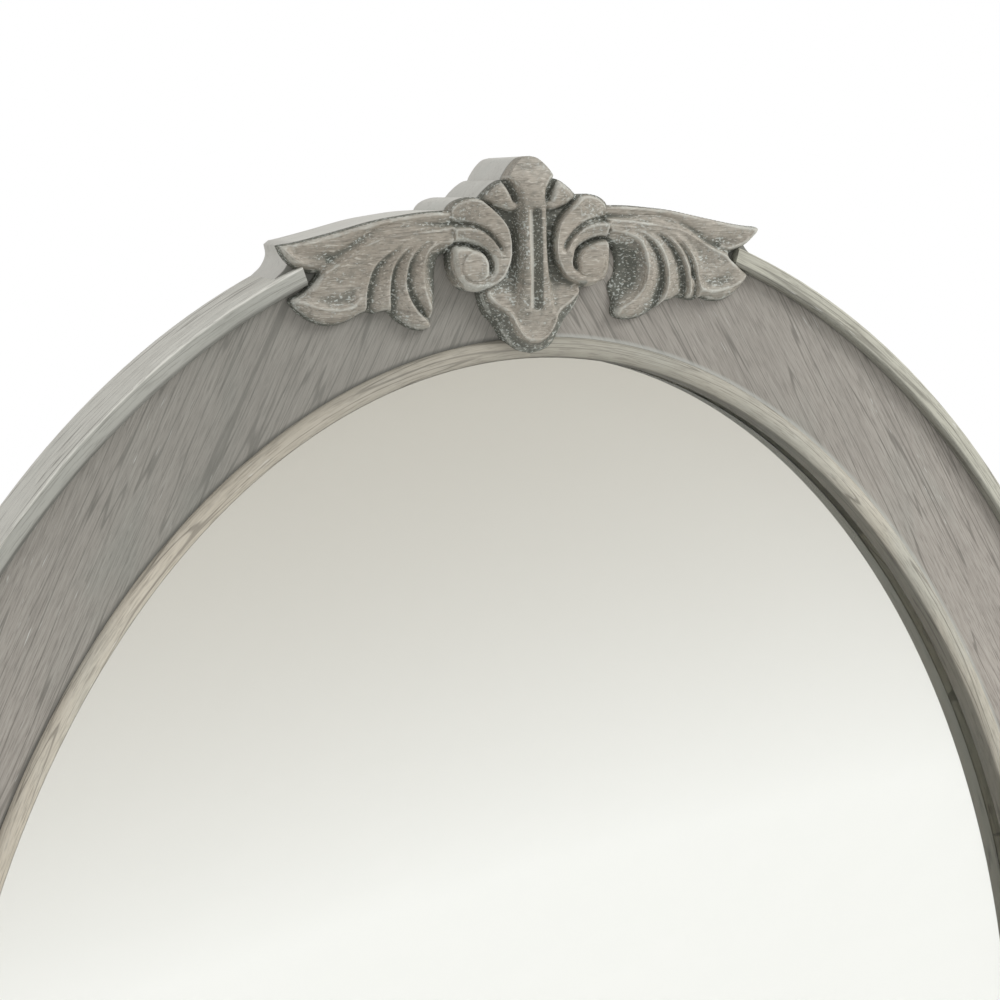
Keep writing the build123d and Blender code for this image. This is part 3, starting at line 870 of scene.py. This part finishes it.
# %% Places along the strips
ARC_STEPS = 2000
arc_turns = np.linspace(0, math.pi, ARC_STEPS + 1)
arc_x, arc_z = HALF_WIDTH * np.sin(arc_turns), HALF_HEIGHT * np.cos(arc_turns)
arc_lengths = np.concatenate([[0], np.cumsum(np.hypot(np.diff(arc_x), np.diff(arc_z)))])
print("half of the outer oval is", round(arc_lengths[-1], 3), "m long")


def mark_strip(piece):
    """Store the length along the oval, the inset and the depth of every point."""
    points = np.array([v.co for v in piece.data.vertices])
    x, z = np.abs(points[:, 0]), points[:, 2] - HALF_HEIGHT
    turns = np.arctan2(x * HALF_HEIGHT, z * HALF_WIDTH)
    low, high = np.full(len(x), -0.002), np.full(len(x), 0.08)
    for _ in range(20):
        inset = (low + high) / 2
        outside = (x / (HALF_WIDTH - inset)) ** 2 + (z / (HALF_HEIGHT - inset)) ** 2 > 1
        low, high = np.where(outside, low, inset), np.where(outside, inset, high)
    along = np.interp(turns, arc_turns, arc_lengths)
    places = np.stack([along, points[:, 1] - RIM_Y, inset], axis=1).astype(np.float32)
    attribute = piece.data.attributes.new("strip_place", "FLOAT_VECTOR", "POINT")
    attribute.data.foreach_set("vector", places.ravel())


# %% [markdown]
# ## Finishes of the boards
# The grain of a board runs straight, leaning towards the crest. The field is darker towards the carving, more
# on the left. The corner against the band gets painted shade, and the corner against the lip gets painted
# shade on the left and a painted highlight with lime on the right.

# %% Boards
BOARD_TURNS = {"upper_left": 63, "upper_right": 119, "lower_left": 125, "lower_right": 53}
for number, (corner, degrees) in enumerate(BOARD_TURNS.items()):
    mark_strip(boards[corner])
    finish = Finish("limed_oak_board_" + corner)
    finish, colour, depth = limed_oak(
        straight_grain(finish, degrees, 0.37 * number), tint(181, 174, 165), tint(159, 152, 144),
        tint(146, 149, 141), seed=1.3 + number, grain=1.5, lime=1.4,
    )
    strip_place = finish.add("ShaderNodeAttribute", {"attribute_name": "strip_place"}, output=1)
    along, _, inset = finish.axes(strip_place)
    near_crest = 1.0 - finish.ramp(along, 0.12, 0.42)
    colour = finish.blend(near_crest * (0.56 if "left" in corner else 0.34), colour, tint(112, 114, 108))
    # painted shade in the corner against the lip on the left boards, a painted highlight with lime on the
    # right ones
    lip_crease_shade_highlight = finish.ramp(inset, mm(LIP_INSET - 2.0), mm(LIP_INSET - 0.2)) * 0.7
    colour = finish.blend(lip_crease_shade_highlight, colour, CREASE_SHADE if "left" in corner else CREASE_HIGHLIGHT_LIME)
    # painted shade in the corner against the band
    band_corner_shade = 1.0 - finish.ramp(inset, mm(BAND_WIDTH), mm(BAND_WIDTH + 1))
    colour = finish.blend(band_corner_shade * 0.6, colour, CREASE_SHADE)
    boards[corner].data.materials.append(finish_oak(finish, colour, depth))
print("boards finished:", len(boards))

# %% [markdown]
# ## Finishes of the band and the lip
# The band's front gets painted shade, much more on the left, so its outer side shows paler, and a painted
# shadow where it meets the field. The lip gets painted shade only inside, next to the glass, and a painted
# shadow from the carving near the top. Both strips are lighter on the left than on the right: painted light,
# with more lime on the left.

# %% Band and lip
# painted shade on the band's front, much more on the left; the left strips also get lighter colours than the
# right ones, as painted light with more lime
BAND_FRONT_SHADE = {"left": 0.62, "right": 0.12}
STRIP_COLOURS_LIT_LEFT = {
    "band_left": (tint(232, 231, 222), tint(200, 199, 190)),
    "band_right": (tint(208, 207, 192), tint(176, 174, 160)),
    "lip_left": (tint(210, 202, 186), tint(184, 176, 160)),
    "lip_right": (tint(200, 195, 180), tint(170, 165, 151)),
}
for number, side in enumerate(("left", "right")):
    for kind, piece in zip(("band", "lip"), moulding[side]):
        mark_strip(piece)
        finish = Finish("limed_oak_" + kind + "_" + side)
        place = finish.add("ShaderNodeAttribute", {"attribute_name": "strip_place"}, output=1)
        light, dark = STRIP_COLOURS_LIT_LEFT[kind + "_" + side]
        finish, colour, depth = limed_oak(
            place, light, dark, tint(166, 168, 159), seed=5.1 + number, grain=1.4, lime=1.5
        )
        along, _, inset = finish.axes(place)
        if kind == "band":
            # painted shade on the front of the band
            front = finish.ramp(inset, mm(0.4), mm(1.2))
            colour = finish.blend(front * BAND_FRONT_SHADE[side], colour, tint(122, 123, 116))
            # painted shadow where the band meets the field
            band_edge_shadow = finish.ramp(inset, mm(BAND_WIDTH - 2.1), mm(BAND_WIDTH - 0.8))
            colour = finish.blend(band_edge_shadow * 0.5, colour, tint(66, 66, 61))
        else:
            # painted shadow of the carving on the lip near the top
            carving_shadow_on_lip = 0.4 - finish.ramp(along, 0.05, 0.2) * 0.4
            colour = finish.blend(carving_shadow_on_lip, colour, tint(112, 112, 104))
            # painted shade along the lip's inner edge, where it meets the glass
            inside = finish.ramp(inset, mm(SIGHT_INSET - 1.0), mm(SIGHT_INSET - 0.2))
            colour = finish.blend(inside * 0.6, colour, tint(38, 38, 35))
        piece.data.materials.append(finish_oak(finish, colour, depth))
print("strips finished:", len(STRIP_COLOURS_LIT_LEFT))

# %% [markdown]
# ## Stain and painted shade in the hollows, lime and painted highlights on the ridges
# A carved piece is rubbed after it is stained, so the high places are pale and brown and the hollows stay
# dark and greenish. On top of this the hollows carry painted shade and the ridges a painted highlight. How
# high or low a point lies against its surroundings is measured on the sheet of heights, with a blur over a
# few millimetres, and stored with the points.

# %% Hollows and ridges of the carving
def blurred(values, radius):
    """Values averaged over a square, three times, which is close to a soft round blur."""
    width = max(1, round(radius / SHEET_STEP))
    kernel = np.ones(2 * width + 1) / (2 * width + 1)
    for _ in range(3):
        for axis in (0, 1):
            padded = np.pad(values, [(width, width) if a == axis else (0, 0) for a in (0, 1)], mode="edge")
            values = np.apply_along_axis(lambda row: np.convolve(row, kernel, mode="valid"), axis, padded)
    return values


FIELD_LEVEL = -4.0
capped = np.maximum(sheet, FIELD_LEVEL)
near_hollow = (blurred(capped, 2.4) - capped) / 2.0
wide_hollow = (blurred(capped, 5.6) - capped) / 3.0
# how hollow a point is sets its stain and painted shade, how sharp it is its lime and painted highlight
hollow_stain_shade = np.clip(np.maximum(near_hollow, wide_hollow), -1, 1)
ridge_lime_highlight = np.clip((capped - blurred(capped, 0.4)) / 0.22, -1, 1)
grid_x, grid_z = np.meshgrid(sheet_x, sheet_z)

# the wall round the shield is darkened all over, with stain and painted shade
shield_ring = np.vstack([[(-9, -20), (12, -24)], over_middle(SHIELD)])
past_shield = -depth_in(shield_ring, np.abs(grid_x), grid_z)
shield_wall = step(past_shield, 0.1, 1.4) * step(-grid_z, 27.5, 29.5) * (np.abs(grid_x) < 21)
hollow_stain_shade = np.maximum(hollow_stain_shade, 0.75 * shield_wall)

# the stem is a little stained, with painted shade on its left side, and its groove gets a painted highlight
# with lime on the left and painted shade on the right
in_groove = step(-np.abs(grid_x), -2.9, -2.1) * step(grid_z, -38.6, -36.6) * (1 - step(grid_z, -2.2, 0))
groove_shade_side = step(grid_x, -0.7, 0.5)
groove_highlight_lime_side = (1 - groove_shade_side) * step(grid_x, -2.5, -1.7)
on_stem = step(-np.abs(grid_x), -7.2, -5.6) * step(grid_z, -44, -38) * (1 - step(grid_z, 3, 9))
hollow_stain_shade = np.maximum(hollow_stain_shade, on_stem * (0.08 + 0.14 * (1 - step(grid_x, -4, 3))))
hollow_stain_shade = hollow_stain_shade * (1 - in_groove) + in_groove * (1.4 * groove_shade_side - 0.4)
ridge_lime_highlight = ridge_lime_highlight * (1 - on_stem) + in_groove * groove_highlight_lime_side * 1.6
print("deepest hollow", round(hollow_stain_shade.max(), 2), "sharpest ridge", round(ridge_lime_highlight.max(), 2))


def mark_carving(piece):
    """Store how hollow, how sharp and how high the carving is at every point."""
    points = np.array([v.co for v in piece.data.vertices]) * 1000
    x, z = points[:, 0], points[:, 2] - TOP_Z * 1000
    for name, values in (("hollow", hollow_stain_shade), ("ridge", ridge_lime_highlight), ("height", sheet)):
        attribute = piece.data.attributes.new(name, "FLOAT", "POINT")
        attribute.data.foreach_set("value", read_sheet(values, x, z).astype(np.float32))


# %% [markdown]
# ## Finish of the carving
# On the oak come, one over the other: dark and pale dashes along the grain, stain with painted shade in the
# hollows and down the walls, white specks of lime that caught in the stain, and lime with a painted highlight
# rubbed on the ridges where the piece is worn.

# %% Carving
# the green is stain and painted shade in the hollows and down the walls
STAIN_SHADE_GREEN = tint(82, 86, 79)
DASH_DARK = tint(100, 94, 84)
DASH_PALE = tint(208, 204, 192)
SPECK_LIME = tint(200, 205, 199)
# the rubbed lime on the ridges is also a painted highlight
RUBBED_LIME_HIGHLIGHT = tint(214, 215, 206)
for number, (name, piece) in enumerate(carvings.items()):
    mark_carving(piece)
    finish = Finish("limed_" + name)
    finish, colour, depth = limed_oak(
        straight_grain(finish, 2, 0.2 * number), tint(186, 179, 167), tint(154, 146, 133),
        tint(160, 162, 152), seed=9.7 + number, grain=0.8, lime=0.5,
    )
    hollow = finish.add("ShaderNodeAttribute", {"attribute_name": "hollow"}, output=2)
    ridge = finish.add("ShaderNodeAttribute", {"attribute_name": "ridge"}, output=2)
    height = finish.add("ShaderNodeAttribute", {"attribute_name": "height"}, output=2)
    level = straight_grain(finish, 0)
    rough = finish.noise(level, (420, 420, 420), 3, 0.6)
    worn = finish.noise(level, (75, 75, 75), 2, 0.5)
    dark_dashes = finish.noise(level, (170, 1300, 1300), 2, 0.6, (1.1, 0, 0))
    pale_dashes = finish.noise(level, (240, 1500, 1500), 2, 0.6, (4.7, 0, 0))
    specks = finish.noise(level, (800, 1150, 1150), 2, 0.5, (0, 6.2, 0))
    colour = finish.blend(finish.ramp(dark_dashes, 0.54, 0.68) * 0.5, colour, DASH_DARK)
    # stain and painted shade in the hollows
    stain_and_shade = finish.ramp(hollow + (rough - 0.5) * 0.9 + (worn - 0.5) * 0.5, -0.32, 0.7)
    # stain and painted shade lower down the walls
    low = 1.0 - finish.ramp(height + (rough - 0.5) * 2.0, -3.6, 1.0)
    dark = (stain_and_shade * 0.9 + low).clipped()
    colour = finish.blend(dark * 0.88, colour, STAIN_SHADE_GREEN)
    colour = finish.blend(finish.ramp(pale_dashes, 0.58, 0.68) * 0.5, colour, DASH_PALE)
    crust = finish.ramp(specks + (worn - 0.5) * 0.25, 0.57, 0.66) * finish.ramp(dark, 0.1, 0.6)
    colour = finish.blend(crust * 0.7, colour, SPECK_LIME)
    # lime rubbed on the ridges, with a painted highlight
    lime_highlight_mask = finish.ramp(ridge + (rough - 0.5) * 1.3 + (worn - 0.5) * 2.2, 0.45, 1.3)
    colour = finish.blend(lime_highlight_mask * 0.45, colour, RUBBED_LIME_HIGHLIGHT)
    piece.data.materials.append(finish_oak(finish, colour, depth + rough * 0.6))
print("attributes of a carved piece:", ", ".join(piece.data.attributes.keys()[-3:]))

# %% [markdown]
# ## Finish of the crest block
# Its sawn edge is almost white with lime. The strip of its front that shows between the wing and the band
# gets painted shade.

# %% Block
finish = Finish("limed_crest_block")
oak = limed_oak(
    straight_grain(finish, 0), tint(214, 213, 206), tint(198, 197, 190), tint(202, 204, 197), seed=4.4,
    grain=0.35, lime=0.6,
)
finish, colour, depth = oak
_, back, _ = finish.axes(finish.add("ShaderNodeTexCoord", output=3))
behind = back - (RIM_Y + mm(FIELD_DROP))
# painted shade on the strip of the front between the wing and the band
front = 1.0 - finish.ramp(behind, mm(0.2), mm(1.6))
colour = finish.blend(front * 0.72, colour, tint(98, 99, 92))
crest_block.data.materials.append(finish_oak(finish, colour, depth))
print("nodes in the finish of the block:", len(finish.tree.nodes))

# %% [markdown]
# ## Glass, silver, backboard and metal
# The mirror is a clear plate with silver behind it, so it is made as that: the plate lets the light
# through with a thin shine, and the coat is polished metal.

# %% Glass and silver
def give(finish, *names):
    """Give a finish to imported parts."""
    for name in names:
        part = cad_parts[name]
        part.data.materials.clear()
        part.data.materials.append(finish.material)


glass = Finish("clear_plate_glass")
smears = glass.noise(glass.add("ShaderNodeTexCoord", output=3), (14, 14, 14), 2)
glass.shade(Base_Color=(0.9, 0.95, 0.92, 1), Roughness=smears * 0.02, IOR=1.5)
clear = glass.add("ShaderNodeBsdfTransparent", None, {"Color": (0.985, 0.992, 0.985, 1)})
shine = Value(glass, glass.tree.nodes["Principled BSDF"].outputs[0])
surface = glass.add("ShaderNodeMixShader", None, {0: 0.02, 1: clear, 2: shine})
glass.tree.links.new(surface.socket, glass.tree.nodes["Material Output"].inputs["Surface"])
give(glass, "mirror_glass")

silver = Finish("silver_coat")
veil = silver.noise(silver.add("ShaderNodeTexCoord", output=3), (3, 3, 3), 2)
silver_tone = silver.blend(veil, (0.965, 0.965, 0.955, 1), (0.975, 0.975, 0.968, 1))
silver.shade(Base_Color=silver_tone, Metallic=1.0, Roughness=0.0)
give(silver, "silver_backing")
print("nodes in the glass:", len(glass.tree.nodes))

# %% [markdown]
# ## Back board, cork and dowels
# Hardboard is pressed brown pulp, cork is a mass of small cells, and beech has short dark flecks.

# %% Hardboard, cork and beech
board = Finish("brown_hardboard")
place = board.add("ShaderNodeTexCoord", output=3)
pulp = board.noise(place, (900, 900, 900), 4, 0.7)
stains = board.noise(place, (12, 12, 12), 3, 0.5)
colour = board.blend(board.ramp(pulp * 0.7 + stains * 0.3, 0.38, 0.62), tint(104, 78, 55), tint(140, 110, 80))
press = board.add("ShaderNodeBump", None, {"Strength": 0.3, "Distance": 0.0003, "Height": pulp})
board.shade(Base_Color=colour, Roughness=0.75, Normal=press)
give(board, "backboard")

cork = Finish("cork")
place = cork.add("ShaderNodeTexCoord", output=3)
cells = cork.add("ShaderNodeTexVoronoi", None, {"Vector": place, "Scale": 700.0})
colour = cork.blend(cork.ramp(cells, 0.1, 0.6), tint(168, 128, 86), tint(120, 84, 52))
cork.shade(Base_Color=colour, Roughness=0.9)
give(cork, "setting_blocks")

beech = Finish("beech_dowel")
place = beech.add("ShaderNodeTexCoord", output=3)
fleck = beech.noise(place, (60, 900, 900), 2)
beech.shade(Base_Color=beech.blend(fleck, tint(196, 164, 124), tint(214, 186, 148)), Roughness=0.7)
give(beech, "frame_dowels", "crest_dowels")
print("nodes in the hardboard:", len(board.tree.nodes))

# %% [markdown]
# ## Zinc and passivated steel
# Zinc plating shows a faint mosaic of crystals. The screws are passivated, which turns the zinc yellow.

# %% Buttons, hangers and screws
zinc = Finish("zinc_plated_steel")
place = zinc.add("ShaderNodeTexCoord", output=3)
spangle = zinc.add("ShaderNodeTexVoronoi", {"feature": "F1"}, {"Vector": place, "Scale": 260.0}, output=1)
spangle_value = zinc.add("ShaderNodeSeparateColor", None, {0: spangle})
scuffs = zinc.noise(place, (300, 300, 300), 4, 0.7)
tone = (spangle_value * 0.5 + scuffs * 0.5).clipped()
zinc.shade(
    Base_Color=zinc.blend(tone, tint(150, 152, 152), tint(196, 198, 196)), Metallic=1.0,
    Roughness=0.28 + tone * 0.2,
)
give(
    zinc, "hanger_strap_left", "hanger_strap_right", "hanger_ring_left", "hanger_ring_right",
    *[f"turn_button_{n}" for n in range(1, 9)],
)

steel = Finish("yellow_passivated_screw")
place = steel.add("ShaderNodeTexCoord", output=3)
dulled = steel.noise(place, (800, 800, 800), 3, 0.6)
steel.shade(
    Base_Color=steel.blend(dulled, tint(168, 150, 110), tint(206, 190, 150)), Metallic=1.0,
    Roughness=0.25 + dulled * 0.2,
)
give(steel, "turn_button_screws", "hanger_screws")
print("nodes in the zinc:", len(zinc.tree.nodes))

# %% [markdown]
# ## Floor, daylight and camera
# The camera stands a little to the left of the mirror and above the middle of its height, as the
# photographer's did, and looks slightly down.

# %% Camera at the photograph's viewing angle
camera_data = bpy.data.cameras.new("camera")
camera = bpy.data.objects.new("camera", camera_data)
bpy.context.scene.collection.objects.link(camera)
camera_data.lens = 71.70
camera_data.sensor_width = 36
right = Vector((0.93304642, -0.35869271, -0.0276391))
up = Vector((0.0826313, 0.13890194, 0.98685273))
ahead = Vector((0.35013775, 0.92306327, -0.1592412))
turned = Matrix((right, up, -ahead)).transposed().to_4x4()
camera.matrix_world = Matrix.Translation((mm(-278.9), mm(-713.7), mm(868.4))) @ turned
bpy.context.scene.camera = camera
print("lens:", camera_data.lens, "mm")

# %% [markdown]
# The light is that of a white studio: an even glow from all round and one large soft lamp high on the
# right. To the camera the surroundings are plain white. What the mirror and the metal reflect is the
# studio's pale wall, which darkens a little upwards and to the left, so those rays get a gradient by
# their direction.

# %% Studio
world = bpy.data.worlds.new("studio")
bpy.context.scene.world = world
world.use_nodes = True
studio = Finish("studio", world.node_tree)
rays = studio.tree.nodes.new("ShaderNodeLightPath")
camera_ray = Value(studio, rays.outputs["Is Camera Ray"])
glossy_ray = Value(studio, rays.outputs["Is Glossy Ray"])
clear_ray = Value(studio, rays.outputs["Is Transmission Ray"])
sideways, _, upwards = studio.axes(studio.add("ShaderNodeTexCoord"))
WALL_START, WALL_END = 0.17, 0.475
falling = ((sideways * 0.25 - upwards - WALL_START) / (WALL_END - WALL_START)).clipped()
falling = (falling * (0.55 + 0.79 * falling)).clipped()
wall_colour = studio.blend(falling, (0.590, 0.552, 0.501, 1), (1.03, 1.012, 0.998, 1))
AMBIENT = 0.76
seen_straight = (glossy_ray + clear_ray).clipped()
colour = studio.blend(seen_straight, (AMBIENT, AMBIENT, AMBIENT * 1.01, 1), wall_colour)
colour = studio.blend(camera_ray, colour, (1, 1, 1, 1))
background = studio.tree.nodes["Background"]
studio.tree.links.new(colour.socket, background.inputs["Color"])
background.inputs["Strength"].default_value = 1.0

bm = bmesh.new()
bmesh.ops.create_grid(bm, x_segments=1, y_segments=1, size=2.5)
floor_mesh = bpy.data.meshes.new("floor")
bm.to_mesh(floor_mesh)
bm.free()
floor = bpy.data.objects.new("floor", floor_mesh)
bpy.context.scene.collection.objects.link(floor)
floor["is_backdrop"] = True
paint = Finish("pale_floor")
place = paint.add("ShaderNodeTexCoord", output=3)
specks = paint.noise(place, (60, 60, 60), 2)
paint.shade(Base_Color=paint.blend(specks, tint(236, 236, 234), tint(240, 240, 238)), Roughness=0.9)
paint_rays = paint.tree.nodes.new("ShaderNodeLightPath")
paint_glossy = Value(paint, paint_rays.outputs["Is Glossy Ray"])
paint_clear = Value(paint, paint_rays.outputs["Is Transmission Ray"])
through = (paint_glossy + paint_clear).clipped()
clear = paint.add("ShaderNodeBsdfTransparent")
body = Value(paint, paint.tree.nodes["Principled BSDF"].outputs[0])
mixed = paint.add("ShaderNodeMixShader", None, {0: through, 1: body, 2: clear})
paint.tree.links.new(mixed.socket, paint.tree.nodes["Material Output"].inputs["Surface"])
floor_mesh.materials.append(paint.material)
print("nodes in the studio:", len(studio.tree.nodes))

# %% [markdown]
# The lamp is large and near, so that the shadows under the leaves are soft.

# %% Soft lamp
def soft_lamp(name, place, aim, size, energy):
    """A square lamp that looks at a point."""
    data = bpy.data.lights.new(name, "AREA")
    data.energy = energy
    data.size = size
    lamp = bpy.data.objects.new(name, data)
    bpy.context.scene.collection.objects.link(lamp)
    lamp.location = place
    lamp.rotation_euler = (Vector(aim) - Vector(place)).to_track_quat("-Z", "Y").to_euler()
    return lamp


soft_lamp("key", (1.5, -1.3, 2.1), (0, 0, 0.75), 0.9, 28)
print("lamps:", len(bpy.data.lights))

# %% [markdown]
# The photograph's colours are plain ones, so the view transform is the plain one too.

# %% View transform
scene = bpy.context.scene
scene.view_settings.view_transform = "Standard"
print("view transform:", scene.view_settings.view_transform)

# %% [markdown]
# ## Sizes and the end
# The box of the dressed model is printed.

# %% Size after dressing
low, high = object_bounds()
print("dressed size:", [round(b - a, 4) for a, b in zip(low, high)])
